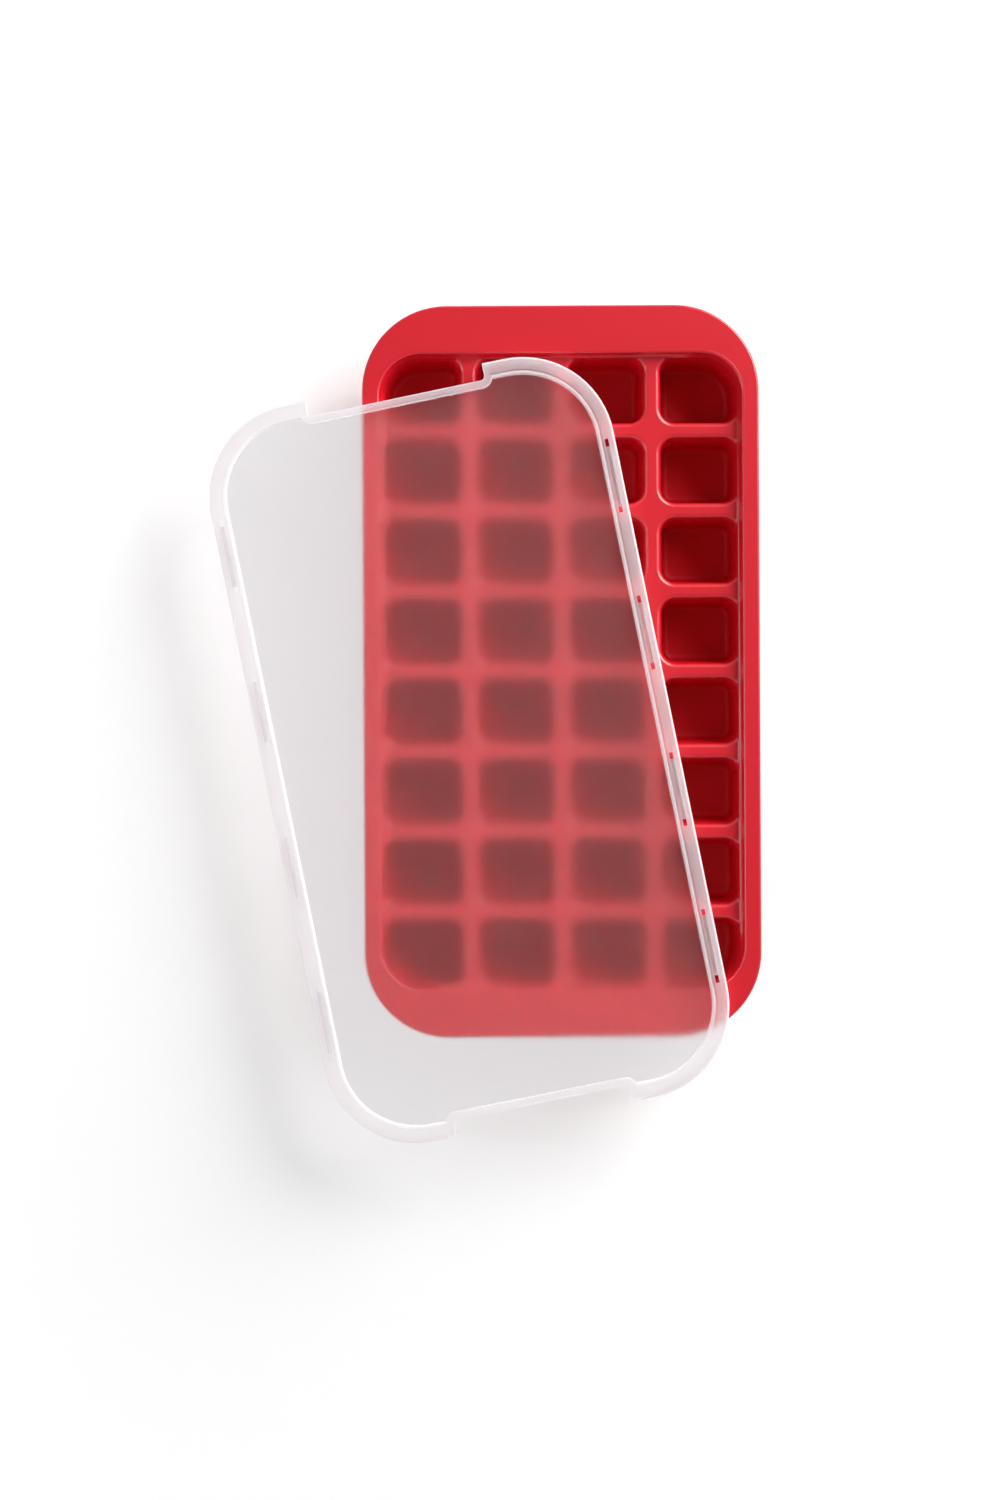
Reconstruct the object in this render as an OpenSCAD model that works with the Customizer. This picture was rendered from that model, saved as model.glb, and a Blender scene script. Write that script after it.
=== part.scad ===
// Silicone ice cube tray with a loose plastic lid lying askew on it.
// Millimetres. X runs across the tray, Y along it and Z up, with z = 0 on the surface it stands on.

/* [Tray] */
// Length of the tray over its flange
tray_l = 333; // [320:1:360]
// Width of the tray over its flange
tray_w = 180.5; // [176:0.5:200]
// Height from the cups' feet to the flange's top
tray_h = 38.5; // [30:0.5:44]
// Corner radius of the flange
tray_r = 38.5; // [30:0.5:45]
// Thickness of the flange
flange_t = 3; // [2.5:0.25:4]
// Rounding of the flange's edges
flange_edge = 1; // [0.5:0.25:1.2]

/* [Basin] */
// Length of the basin at the flange's top
basin_l = 290.1; // [288:0.1:300]
// Width of the basin at the flange's top
basin_w = 165.7; // [164:0.1:170]
// Corner radius of the basin at the flange's top
basin_r = 19.5; // [16:0.5:24]
// Depth from the flange's top down to the ribs' tops
basin_depth = 5.5; // [4:0.5:8]
// How far the basin's wall leans in over its depth
basin_lean = 2; // [0.5:0.1:3]
// Rounding between the flange and the basin's wall
basin_edge = 1.2; // [0.5:0.1:1.5]

/* [Cells] */
// Number of cells across the tray
columns = 4; // [4:1:4]
// Number of cells along the tray
rows = 8; // [8:1:8]
// Distance from one column to the next
column_pitch = 41.85; // [41:0.05:43]
// Distance from one row to the next
row_pitch = 36.6; // [36:0.05:37.5]
// Width of the ribs between columns, under their rounded edges
column_rib = 7.4; // [6.5:0.1:9]
// Width of the ribs between rows, under their rounded edges
row_rib = 7; // [6.5:0.1:9]
// Rounding of the ribs' top edges
rib_edge = 2.2; // [1:0.1:2.6]
// Corner radius of a cell, under the ribs' rounded edges
cell_r = 6.8; // [5.5:0.1:8]
// Draft of the cells' walls in degrees
draft = 4; // [2:0.5:4]
// Rounding between a cell's wall and its floor
floor_edge = 3; // [1:0.25:3]
// Thickness of the cells' floors
floor_t = 2; // [1.5:0.25:4]
// Thickness of the cells' walls
wall_t = 1.8; // [1.2:0.1:2.2]
// Thickness of the ribs' tops
rib_t = 2.5; // [2.4:0.1:4]
// Chamfer round the foot of each cup
foot_edge = 1.6; // [0.5:0.1:2]

/* [Lid] */
// Length of the lid
lid_l = 341; // [338:0.5:350]
// Width of the lid
lid_w = 186.4; // [183:0.2:194]
// Corner radius of the lid
lid_r = 42; // [36:0.5:46]
// Thickness of the lid's plate and walls
lid_t = 1.2; // [0.8:0.1:1.4]
// Height of the raised rim above the plate
rim_h = 2; // [1.4:0.1:4]
// Width of the raised rim
rim_w = 7.8; // [7:0.2:10]
// Rounding of the raised rim's edges
rim_edge = 0.8; // [0.3:0.1:1]
// Depth of the skirt below the plate
skirt_depth = 6; // [5.5:0.25:8]
// Width of the notch at each short end
notch_w = 82; // [50:1:100]
// Depth of the notches
notch_depth = 7.5; // [5:0.5:9]
// Corner radius of the notches
notch_r = 2; // [1:0.25:3]
// Width of the raised rim along a notch
notch_rim_w = 3.6; // [3.4:0.1:5]
// Depth of the lip below the plate along a notch
notch_lip = 2; // [0.5:0.25:3]

/* [Catches] */
// Number of catches on each long side of the lid
catches = 4; // [2:1:4]
// Distance from one catch to the next
catch_pitch = 72.4; // [55:0.2:74]
// Length of the window above a catch
window_l = 34; // [20:0.5:36]
// Width of the window above a catch
window_w = 1.65; // [1:0.05:2.5]
// Distance from the lid's edge to the middle of the windows
window_inset = 3.9; // [3:0.1:5]
// Length of a catch
catch_l = 28; // [15:0.5:32]
// Reach of a catch inwards from the skirt
catch_reach = 3.5; // [2:0.1:4]
// Thickness of a catch
catch_t = 1.2; // [0.8:0.1:1.6]
// Clearance between the flange and the catches of a closed lid
catch_gap = 0.4; // [0.2:0.1:0.8]

/* [Resting place] */
// Turn of the lid on the tray in degrees, anticlockwise from above
lid_turn = 11.3; // [11.3:0.1:11.3]
// Place of the lid's middle across the tray
lid_x = -42.3; // [-42.3:0.1:-42.3]
// Place of the lid's middle along the tray
lid_y = -35.8; // [-35.8:0.1:-35.8]
// Height of the lid's plate over the flange at the lid's middle, where the lid touches the tray
lid_lift = 2.57; // [2.57:0.01:4]
// Tilt of the lid in degrees
lid_tilt = 2.24; // [2.24:0.01:2.24]
// Way the lid rises in degrees, anticlockwise from across the tray
lid_rise = 11.8; // [11.8:0.1:11.8]
// Clearance between the lid and the tray where the lid rests
rest_gap = 0.12; // [0.1:0.01:0.4]

/* [Hidden] */

// Flat steps in a quarter of a cell's roundings, seen from the side
arc_steps = 3;
// Overlap that carries one solid or cut through another
eps = 0.2;
$fn = 96;

rib_top = tray_h - basin_depth;
wall_top = rib_top - rib_edge;
foot_l = basin_l - 2 * basin_lean;
foot_w = basin_w - 2 * basin_lean;
foot_r = basin_r - basin_lean;
rim_top = rim_h + lid_t;

// Left, right, front and back sides of an outline that is centred on the origin
function centred(w, l) = [-w / 2, w / 2, -l / 2, l / 2];

// One corner of an outline, anticlockwise from the back right one
function corner(sides, k) = [k == 0 || k == 3 ? sides[1] : sides[0], k < 2 ? sides[3] : sides[2]];

// The way out over side k: right, back, left and front
function out(k) = [cos(90 * k), sin(90 * k)];

// Runs a section, the child, round an outline. The section's x = $r lies on the outline.
module swept(sides, radii) {
    least = min(radii);
    for (k = [0:3]) {
        r = radii[k];
        side_l = k % 2 == 0 ? sides[3] - sides[2] : sides[1] - sides[0];
        translate(corner(sides, k) - (out(k) + out(k + 1)) * r)
            rotate([0, 0, 90 * k])
                rotate_extrude(angle = 90) {
                    $r = r;
                    children();
                }
        translate(corner(sides, k) - out(k + 1) * r - out(k) * least)
            rotate([90, 0, 90 * k])
                linear_extrude(height = side_l - r - radii[(k + 3) % 4]) {
                    $r = least;
                    children();
                }
    }
}

// A solid with the child as its section all round, filled in the middle by a core that overlaps the section
module walled(sides, radii, bottom, top) {
    least = min(radii);
    swept(sides, radii)
        children();
    translate([0, 0, bottom])
        linear_extrude(height = top - bottom)
            polygon([
                for (k = [0:3])
                    let (p = corner(sides, k), a = out(k), b = out(k + 1), r = radii[k] - eps, s = least - eps)
                    each r > s
                        ? [p - a * s - b * r, p - (a + b) * r, p - a * r - b * s]
                        : [p - (a + b) * r]
            ]);
}

// Sides of the cell in column i and row j. Beside the basin's wall a cell reaches to that wall's foot.
function cell_sides(i, j) =
    let (
        x = (i - (columns - 1) / 2) * column_pitch,
        y = (j - (rows - 1) / 2) * row_pitch,
        half_w = (column_pitch - column_rib) / 2,
        half_l = (row_pitch - row_rib) / 2
    )
    [
        i == 0 ? -foot_w / 2 : x - half_w,
        i == columns - 1 ? foot_w / 2 : x + half_w,
        j == 0 ? -foot_l / 2 : y - half_l,
        j == rows - 1 ? foot_l / 2 : y + half_l
    ];

// Corner radii of a cell. One that lies in the basin's corner follows it.
function cell_radii(i, j) = [
    i == columns - 1 && j == rows - 1 ? foot_r : cell_r,
    i == 0 && j == rows - 1 ? foot_r : cell_r,
    i == 0 && j == 0 ? foot_r : cell_r,
    i == columns - 1 && j == 0 ? foot_r : cell_r
];

module cell_section() {
    z = floor_t + floor_edge;
    x = $r - (wall_top - z + floor_edge * sin(draft)) * tan(draft) - floor_edge * cos(draft);
    polygon([
        [0, floor_t],
        for (i = [0:arc_steps])
            let (a = -90 + i * (90 - draft) / arc_steps)
            [x + floor_edge * cos(a), z + floor_edge * sin(a)],
        for (i = [0:arc_steps])
            let (a = 180 - i * 90 / arc_steps)
            [$r + rib_edge * (1 + cos(a)), wall_top + rib_edge * sin(a)],
        [$r + rib_edge, rib_top + eps],
        [0, rib_top + eps]
    ]);
}

module cell_space(i, j) {
    walled(cell_sides(i, j), cell_radii(i, j), floor_t, rib_top + eps)
        cell_section();
}

// Everything inside the foot of the basin's wall
module inside_foot() {
    walled(centred(foot_w, foot_l), [foot_r, foot_r, foot_r, foot_r], 0, rib_top + eps)
        square([$r, rib_top + eps]);
}

module cup(i, j) {
    walled(
        cell_sides(i, j) + wall_t * [-1, 1, -1, 1],
        cell_radii(i, j) + wall_t * [1, 1, 1, 1],
        0,
        wall_top
    )
        let (x = $r - (wall_top - foot_edge) * tan(draft))
        polygon([[0, 0], [x - foot_edge, 0], [x, foot_edge], [$r, wall_top], [0, wall_top]]);
}

module flange_section() {
    square([$r - flange_edge, flange_t]);
    translate([0, flange_edge])
        square([$r, flange_t - 2 * flange_edge]);
    for (z = [flange_edge, flange_t - flange_edge])
        translate([$r - flange_edge, z])
            circle(r = flange_edge);
}

module flange() {
    translate([0, 0, tray_h - flange_t])
        walled(centred(tray_w, tray_l), [tray_r, tray_r, tray_r, tray_r], 0, flange_t)
            flange_section();
}

// Outside of the basin, from the ribs' underside up into the flange
module basin_outside() {
    bottom = rib_top - rib_t;
    top = tray_h - flange_t / 2;
    lean = basin_lean / basin_depth * (top - rib_top);
    r = foot_r + wall_t;
    walled(centred(foot_w + 2 * wall_t, foot_l + 2 * wall_t), [r, r, r, r], bottom, top)
        polygon([[0, bottom], [$r, bottom], [$r, rib_top], [$r + lean, top], [0, top]]);
}

module basin_section() {
    difference() {
        polygon([
            [0, rib_top],
            [$r - basin_lean, rib_top],
            [$r - basin_lean * basin_edge / basin_depth, tray_h - basin_edge],
            [$r + basin_edge, tray_h - basin_edge],
            [$r + basin_edge, tray_h + eps],
            [0, tray_h + eps]
        ]);
        translate([$r + basin_edge * (1 - basin_lean / basin_depth), tray_h - basin_edge])
            circle(r = basin_edge);
    }
}

module basin_space() {
    walled(centred(basin_w, basin_l), [basin_r, basin_r, basin_r, basin_r], rib_top, tray_h + eps)
        basin_section();
}

module tray() {
    color([0.82, 0.1, 0.16])
    difference() {
        union() {
            flange();
            basin_outside();
            for (i = [0:columns - 1], j = [0:rows - 1])
                cup(i, j);
        }
        basin_space();
        for (i = [0:columns - 1], j = [0:rows - 1]) {
            if (i == 0 || i == columns - 1 || j == 0 || j == rows - 1)
                intersection() {
                    cell_space(i, j);
                    inside_foot();
                }
            else
                cell_space(i, j);
        }
    }
}

// Section of the raised rim and the skirt, with the plate's underside at zero
module rim_section() {
    difference() {
        union() {
            translate([$r - rim_w, -skirt_depth])
                square([rim_w, skirt_depth + rim_top - rim_edge]);
            translate([$r - rim_w + rim_edge, 0])
                square([rim_w - 2 * rim_edge, rim_top]);
            for (x = [rim_w - rim_edge, rim_edge])
                translate([$r - x, rim_top - rim_edge])
                    circle(r = rim_edge);
        }
        translate([$r - rim_w - eps, -skirt_depth - eps])
            square([rim_w - lid_t + eps, skirt_depth + eps]);
        translate([$r - rim_w + lid_t, -eps])
            square([rim_w - 2 * lid_t, rim_h + eps]);
    }
}

// Outline of the notch at the lid's back end, grown by d
module notch_outline(d) {
    r = notch_r + d;
    w = notch_w + 2 * d;
    y = lid_l / 2 - notch_depth - d;
    translate([-w / 2, y + r])
        square([w, notch_depth + d]);
    translate([-w / 2 + r, y])
        square([w - 2 * r, r]);
    for (x = [-w / 2 + r, w / 2 - r])
        translate([x, y + r])
            circle(r = r);
}

module notch_prism(d, bottom, top) {
    translate([0, 0, bottom])
        linear_extrude(height = top - bottom)
            notch_outline(d);
}

// A wall or plate that follows the notch, from `from` to `to` mm outside it
module notch_band(from, to, bottom, top, length) {
    translate([0, 0, bottom])
        linear_extrude(height = top - bottom)
            intersection() {
                difference() {
                    notch_outline(to);
                    notch_outline(from);
                }
                translate([-lid_w / 2, 0])
                    square([lid_w, length]);
            }
}

module notch_rim() {
    notch_band(0, notch_rim_w, rim_h, rim_top, lid_l / 2);
    notch_band(0, lid_t, -notch_lip, rim_top, lid_l / 2);
    notch_band(notch_rim_w - lid_t, notch_rim_w, 0, rim_top, lid_l / 2 - rim_w + lid_t);
    for (x = [-notch_w / 2 - notch_rim_w, notch_w / 2])
        translate([x, lid_l / 2 - lid_t, -skirt_depth])
            cube([notch_rim_w, lid_t, skirt_depth + rim_top]);
}

// Catches on the right-hand skirt
module catch_row() {
    x = lid_w / 2 - lid_t - catch_reach;
    for (i = [0:catches - 1])
        translate([x, (i - (catches - 1) / 2) * catch_pitch - catch_l / 2, -flange_t - catch_gap - catch_t])
            cube([catch_reach + lid_t / 2, catch_l, catch_t]);
}

// Windows over the catches of the right-hand side
module window_row() {
    x = lid_w / 2 - window_inset - window_w / 2;
    for (i = [0:catches - 1])
        translate([x, (i - (catches - 1) / 2) * catch_pitch - window_l / 2, rim_h - eps])
            cube([window_w, window_l, lid_t + 2 * eps]);
}

// The lid with its plate's underside at zero
module lid_shape() {
    difference() {
        union() {
            swept(centred(lid_w, lid_l), [lid_r, lid_r, lid_r, lid_r])
                rim_section();
            let (r = lid_r - rim_w + lid_t / 2, inset = rim_w - lid_t / 2)
            walled(centred(lid_w - 2 * inset, lid_l - 2 * inset), [r, r, r, r], 0, lid_t)
                square([$r, lid_t]);
        }
        for (a = [0, 180])
            rotate([0, 0, a]) {
                notch_prism(notch_rim_w, -skirt_depth - eps, rim_top + eps);
                window_row();
            }
    }
    for (a = [0, 180])
        rotate([0, 0, a]) {
            notch_rim();
            catch_row();
        }
}

module lid() {
    color([0.93, 0.92, 0.93])
    translate([lid_x, lid_y, tray_h + lid_lift + rest_gap])
        rotate(a = -lid_tilt, v = [-sin(lid_rise), cos(lid_rise), 0])
            rotate([0, 0, lid_turn])
                lid_shape();
}

tray();
lid();
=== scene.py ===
"""A red silicone ice cube tray with its frosted plastic lid lying askew on it, seen from straight above."""
import math

import bpy
from mathutils import Matrix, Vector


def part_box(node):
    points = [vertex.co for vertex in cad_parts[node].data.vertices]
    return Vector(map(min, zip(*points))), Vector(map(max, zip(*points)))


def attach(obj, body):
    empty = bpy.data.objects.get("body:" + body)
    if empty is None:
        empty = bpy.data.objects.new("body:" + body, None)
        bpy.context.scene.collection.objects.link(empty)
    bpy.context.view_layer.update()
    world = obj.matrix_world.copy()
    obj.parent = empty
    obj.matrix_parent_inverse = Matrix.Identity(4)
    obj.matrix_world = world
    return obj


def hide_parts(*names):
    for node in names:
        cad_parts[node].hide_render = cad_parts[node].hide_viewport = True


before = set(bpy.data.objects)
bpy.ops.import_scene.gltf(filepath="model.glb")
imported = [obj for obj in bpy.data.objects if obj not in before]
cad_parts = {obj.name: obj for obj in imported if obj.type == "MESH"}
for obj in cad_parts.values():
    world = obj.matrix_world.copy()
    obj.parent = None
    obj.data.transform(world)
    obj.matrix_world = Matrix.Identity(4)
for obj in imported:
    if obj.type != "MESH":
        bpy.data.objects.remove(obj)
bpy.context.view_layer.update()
bpy.ops.object.select_all(action="DESELECT")
scene = bpy.context.scene
scene.view_settings.view_transform = "Standard"


# Camera. It hangs straight above the tray, a little left of and below its middle, and is turned by a hair.
# The picture is VIEW_HEIGHT high at the level of the flange, along the sensor's long side.
VIEW_HEIGHT = 0.6824
VIEW_X, VIEW_Y = -0.0283, -0.0357
VIEW_TURN = math.radians(-0.3)
LENS, SENSOR = 85, 36
flange_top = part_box("tray")[1].z
camera_data = bpy.data.cameras.new("camera")
camera_data.lens = LENS
camera_data.sensor_width = SENSOR
camera_data.sensor_fit = "AUTO"
camera = bpy.data.objects.new("camera", camera_data)
camera.location = (VIEW_X, VIEW_Y, flange_top + VIEW_HEIGHT * LENS / SENSOR)
camera.rotation_euler = (0, 0, VIEW_TURN)
scene.collection.objects.link(camera)
scene.camera = camera


# Floor. A wide sheet of matt white paper that the tray's cups stand on. To the camera it glows a little,
# so that it looks white where no shadow falls, and evens out to pure white far from the tray.
# Through the lid it has the even, greyer white of paper behind frosted plastic.
FLOOR_SIZE = 12
FLOOR_DROP = 0.0002
PAPER_FINISH = {"Roughness": 0.9, "Specular IOR Level": 0.0, "Emission Strength": 1.0}
# The paper's colour and glow as the light meets them, as the camera sees them, and as the lid shows them
PAPER, PAPER_SEEN, PAPER_THROUGH = 0.8, 0.88, 0.2
GLOW, GLOW_SEEN, GLOW_THROUGH = 0.0, 0.27, 0.73
NEAR, FAR, GLOW_FAR = 0.3, 1.2, 1.0


class Knob:
    """One output of a shader node, to reckon with: knob * 2 + other adds Math nodes."""

    def __init__(self, tree, socket):
        self.tree, self.socket = tree, socket

    def node(self, kind, output, settings=None, in_order=(), **by_name):
        """One output of a new node, whose sockets are given in their order or by their names."""
        made = self.tree.nodes.new(kind)
        for name, value in (settings or {}).items():
            setattr(made, name, value)
        sockets = list(zip(made.inputs, in_order))
        sockets += [(made.inputs[name.replace("_", " ")], value) for name, value in by_name.items()]
        for socket, value in sockets:
            if isinstance(value, Knob):
                self.tree.links.new(value.socket, socket)
            else:
                socket.default_value = value
        return Knob(self.tree, made.outputs[output])

    def into(self, taker, name):
        """Links this to the named socket of another node."""
        self.tree.links.new(self.socket, taker.inputs[name])

    def math(self, operation, *values):
        return self.node("ShaderNodeMath", "Value", {"operation": operation}, (self, *values))

    def __add__(self, other):
        return self.math("ADD", other)

    def __mul__(self, other):
        return self.math("MULTIPLY", other)

    def __sub__(self, other):
        return self.math("SUBTRACT", other)

    def __neg__(self):
        return self * -1.0

    def __rsub__(self, other):
        return -self + other

    __radd__ = __add__
    __rmul__ = __mul__

    def mix(self, low, high):
        """The colour low where this is 0, and high where it is 1."""
        return self.node("ShaderNodeMix", "Result", {"data_type": "RGBA"}, Factor=self, A=low, B=high)

    def fade(self, start, end, low=0.0, high=1.0, slope="LINEAR"):
        """low where this is below start, high where it is above end, and a slope between them."""
        ends = {"From Min": start, "From Max": end, "To Min": low, "To Max": high}
        return self.node("ShaderNodeMapRange", "Result", {"interpolation_type": slope}, Value=self, **ends)


def start_finish(name, finish):
    """A new material, its shader with the values of the finish, and its object coordinates."""
    material = bpy.data.materials.new(name)
    material.use_nodes = True
    tree = material.node_tree
    shader = tree.nodes["Principled BSDF"]
    for socket, value in finish.items():
        shader.inputs[socket].default_value = value
    place = Knob(tree, tree.nodes.new("ShaderNodeTexCoord").outputs["Object"])
    return material, shader, place


def grey(level):
    return (level, level, level, 1)


bpy.ops.mesh.primitive_plane_add(size=FLOOR_SIZE, location=(0, 0, -FLOOR_DROP))
floor = bpy.context.object
floor.name = "floor"
white_paper, shader, place = start_finish("white_paper", PAPER_FINISH)
seen = place.node("ShaderNodeLightPath", "Is Camera Ray")
through = place.node("ShaderNodeLightPath", "Is Transmission Ray")
spread = place.node("ShaderNodeVectorMath", "Value", {"operation": "LENGTH"}, (place,))
far_off = spread.fade(NEAR, FAR, slope="SMOOTHSTEP")
paper = seen.mix(grey(PAPER), grey(PAPER_SEEN))
through.mix(paper, grey(PAPER_THROUGH)).into(shader, "Base Color")
glow = seen.mix(grey(GLOW), far_off.mix(grey(GLOW_SEEN), grey(GLOW_FAR)))
through.mix(glow, grey(GLOW_THROUGH)).into(shader, "Emission Color")
floor.data.materials.append(white_paper)


# Light. A broad soft box stands low at the back right, and a weak strip stands at the left.
# The room is bright round the walls and dim overhead. The camera sees it as plain white.
KEY_POWER, KEY_SIZE = 43, 1.25
KEY_PLACE = (1.15, 0.95, 0.95)
STRIP_POWER, STRIP_SIZE, STRIP_LENGTH = 5, 0.15, 1.6
STRIP_PLACE = (-1.3, -0.1, 0.9)
WALLS, CEILING = 0.42, 0.08
WALLS_END, CEILING_START = 0.55, 0.95
room = bpy.data.worlds.new("room")
room.use_nodes = True
background = room.node_tree.nodes["Background"]
background.inputs["Color"].default_value = grey(1)
look = Knob(room.node_tree, room.node_tree.nodes.new("ShaderNodeTexCoord").outputs["Generated"])
up = look.node("ShaderNodeSeparateXYZ", "Z", Vector=look)
light = up.fade(WALLS_END, CEILING_START, WALLS, CEILING, slope="SMOOTHSTEP")
light.math("MAXIMUM", look.node("ShaderNodeLightPath", "Is Camera Ray")).into(background, "Strength")
scene.world = room
for name, power, width, length, stand in (
    ("soft_box", KEY_POWER, KEY_SIZE, KEY_SIZE, KEY_PLACE),
    ("side_strip", STRIP_POWER, STRIP_SIZE, STRIP_LENGTH, STRIP_PLACE),
):
    lamp_data = bpy.data.lights.new(name, "AREA")
    lamp_data.energy = power
    lamp_data.shape = "RECTANGLE"
    lamp_data.size = width
    lamp_data.size_y = length
    lamp = bpy.data.objects.new(name, lamp_data)
    lamp.location = stand
    lamp.rotation_euler = lamp.location.to_track_quat("Z", "Y").to_euler()
    scene.collection.objects.link(lamp)


# Tray. One moulding of red silicone: a flange, a shallow basin, and the cells with their cups.
# The mould's roundings are smooth, so the steps that the solid has there are shaded as one soft edge.
# The silicone has a satin gloss down to the ribs. Deep in the cells it is matt.
WELD_DISTANCE = 1e-6
FLAT_ANGLE = math.radians(0.4)
SMOOTH_ANGLE = math.radians(40)
FACE_WEIGHT = 100
SILICONE_FINISH = {"Roughness": 0.5, "Specular IOR Level": 0.3, "Coat IOR": 1.7, "Coat Roughness": 0.3}
DEEP_RED, LIGHT_RED = (0.66, 0.002, 0.014, 1), (0.71, 0.004, 0.018, 1)
TONE_SCALE = 18.0
GLOSS_END, GLOSS_START = 0.026, 0.032
GRAIN_SCALE, GRAIN_DETAIL = 2600.0, 3.0
GRAIN_STRENGTH, GRAIN_HEIGHT = 0.08, 0.0002


def smooth_copy(node, name):
    """A copy of a solid, welded and shaded smooth over its roundings, that stands for it."""
    bpy.ops.object.select_all(action="DESELECT")
    node.select_set(True)
    bpy.context.view_layer.objects.active = node
    bpy.ops.object.duplicate()
    piece = bpy.context.object
    piece.name = name
    bpy.ops.object.mode_set(mode="EDIT")
    bpy.ops.mesh.select_all(action="SELECT")
    bpy.ops.mesh.remove_doubles(threshold=WELD_DISTANCE)
    bpy.ops.mesh.dissolve_limited(angle_limit=FLAT_ANGLE)
    bpy.ops.object.mode_set(mode="OBJECT")
    bpy.ops.object.shade_smooth_by_angle(angle=SMOOTH_ANGLE)
    weighted = piece.modifiers.new("soft_edges", "WEIGHTED_NORMAL")
    weighted.keep_sharp = True
    weighted.weight = FACE_WEIGHT
    bpy.ops.object.modifier_apply(modifier=weighted.name)
    piece.data.materials.clear()
    return piece


def noise(place, scale, detail=2.0):
    return place.node("ShaderNodeTexNoise", "Fac", Vector=place, Scale=scale, Detail=detail)


tray = smooth_copy(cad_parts["tray"], "tray_moulding")
red_silicone, shader, place = start_finish("red_silicone", SILICONE_FINISH)
noise(place, TONE_SCALE).mix(DEEP_RED, LIGHT_RED).into(shader, "Base Color")
height = place.node("ShaderNodeSeparateXYZ", "Z", Vector=place)
height.fade(GLOSS_END, GLOSS_START).into(shader, "Coat Weight")
grain = noise(place, GRAIN_SCALE, GRAIN_DETAIL)
bump = grain.node("ShaderNodeBump", "Normal", Height=grain, Strength=GRAIN_STRENGTH, Distance=GRAIN_HEIGHT)
bump.into(shader, "Normal")
tray.data.materials.append(red_silicone)
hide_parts("tray")
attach(tray, "root")


# Lid. One moulding of clear plastic with a frosted face. It lies loose and askew on the tray's flange.
# Its plate is thin and lets most of the light through. The rim and its walls are seen through more
# plastic, and look whiter, in lines that run along the lid's edge and round its notches. These lines
# also carry a faint painted glow, an emission that stands in for light from below scattered in the thick
# plastic.
LID_X, LID_Y, LID_LIFT = -0.0423, -0.0358, 0.00269
LID_TURN, LID_TILT, LID_RISE = math.radians(11.3), math.radians(2.24), math.radians(11.8)
LID_LENGTH, LID_WIDTH, LID_CORNER = 0.341, 0.1864, 0.042
RIM_WIDTH, OUTER_LINE, INNER_LINE, THIN_LINE = 0.0078, 0.001, 0.0017, 0.0006
NOTCH_WIDTH, NOTCH_DEPTH, NOTCH_CORNER, NOTCH_RIM = 0.082, 0.0075, 0.002, 0.0036
LINE_SOFTNESS = 0.0001
PLATE_FINISH = {
    "Base Color": (0.9, 0.88, 0.89, 1),
    "Roughness": 0.57,
    "IOR": 1.3,
    "Transmission Weight": 0.99,
}
HAZE_FINISH = {
    "Base Color": (0.92, 0.9, 0.91, 1),
    "Roughness": 1.0,
    "IOR": 1.3,
    "Transmission Weight": 0.97,
}
HAZE = 0.33
# The rim's emission is a painted glow: it stands in for light from below scattered through the thick
# plastic.
RIM_FINISH_AND_PAINTED_GLOW = {
    "Base Color": (0.95, 0.92, 0.945, 1),
    "Roughness": 0.5,
    "IOR": 1.35,
    "Transmission Weight": 0.1,
    "Emission Color": (1, 0.97, 0.985, 1),
    "Emission Strength": 0.11,
}
# How white the rim is, and how much of its painted glow it has, up to each distance from the lid's edge,
# outermost first
RIM_WHITENESS_AND_GLOW = (
    (OUTER_LINE, 0.63),
    (OUTER_LINE + THIN_LINE, 0.07),
    (RIM_WIDTH - INNER_LINE - THIN_LINE, 0.19),
    (RIM_WIDTH - INNER_LINE, 0.05),
    (RIM_WIDTH, 0.45),
)
LET_THROUGH = 0.4


def beyond(x, y, radius):
    """Distance from the rounded corner at x = 0 and y = 0, negative inside it."""
    x, y = x + radius, y + radius
    reach = x.math("MAXIMUM", 0.0).math("POWER", 2.0) + y.math("MAXIMUM", 0.0).math("POWER", 2.0)
    return reach.math("SQRT") + x.math("MAXIMUM", y).math("MINIMUM", 0.0) - radius


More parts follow.
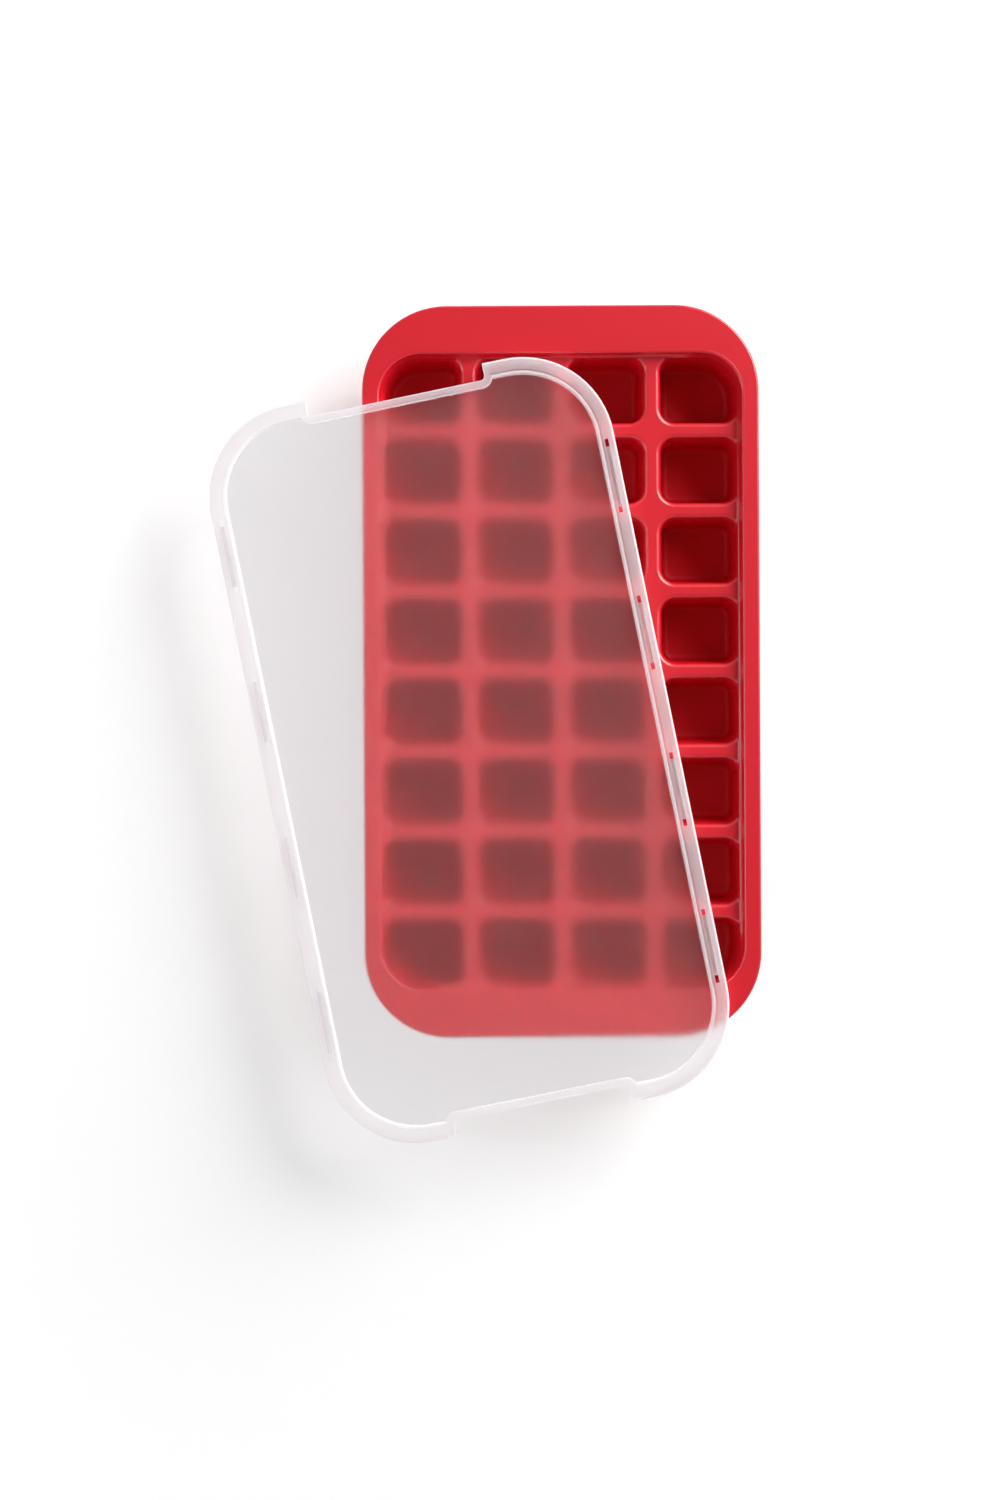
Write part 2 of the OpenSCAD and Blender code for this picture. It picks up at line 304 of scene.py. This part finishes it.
def under(distance, limit):
    """1 where the distance is under the limit and 0 beyond it, with a soft edge."""
    return distance.fade(limit - LINE_SOFTNESS / 2, limit + LINE_SOFTNESS / 2, 1.0, 0.0)


def blend(share, low, high):
    """The finish low where the share is 0, and high where it is 1."""
    return low.node("ShaderNodeMixShader", "Shader", in_order=(share, low, high))


lid = smooth_copy(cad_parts["lid"], "lid_moulding")
frosted_plastic, shader, place = start_finish("frosted_plastic", PLATE_FINISH)
tilt = Matrix.Rotation(-LID_TILT, 3, (-math.sin(LID_RISE), math.cos(LID_RISE), 0))
lie = (tilt @ Matrix.Rotation(LID_TURN, 3, "Z")).to_euler()
middle = (LID_X, LID_Y, flange_top + LID_LIFT)
flat = place.node(
    "ShaderNodeMapping", "Vector", {"vector_type": "TEXTURE"}, Vector=place, Location=middle, Rotation=lie
)
across, along = (flat.node("ShaderNodeSeparateXYZ", axis, Vector=flat).math("ABSOLUTE") for axis in "XY")
from_edge = -beyond(across - LID_WIDTH / 2, along - LID_LENGTH / 2, LID_CORNER)
from_notch = beyond(across - NOTCH_WIDTH / 2, (LID_LENGTH / 2 - NOTCH_DEPTH) - along, NOTCH_CORNER)
distance = from_edge.math("MINIMUM", from_notch * (RIM_WIDTH / NOTCH_RIM))
whiteness_and_glow = inner = 0.0
for limit, white in reversed(RIM_WHITENESS_AND_GLOW):
    whiteness_and_glow = under(distance, limit) * (white - inner) + whiteness_and_glow
    inner = white
plate = Knob(place.tree, shader.outputs["BSDF"])
haze = place.node("ShaderNodeBsdfPrincipled", "BSDF", **HAZE_FINISH)
# The rim's finish is whiter plastic with a painted glow, an emission that stands in for light scattered
# through it.
rim_and_painted_glow = place.node("ShaderNodeBsdfPrincipled", "BSDF", **RIM_FINISH_AND_PAINTED_GLOW)
plastic = blend(whiteness_and_glow, blend(HAZE, plate, haze), rim_and_painted_glow)
# The light that falls through the lid is let through plainly, because few paths find it
# through a frosted face.
clear = place.node("ShaderNodeBsdfTransparent", "BSDF", Color=grey(LET_THROUGH))
plastic = blend(place.node("ShaderNodeLightPath", "Is Shadow Ray"), plastic, clear)
plastic.into(frosted_plastic.node_tree.nodes["Material Output"], "Surface")
lid.data.materials.append(frosted_plastic)
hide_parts("lid")
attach(lid, "root")
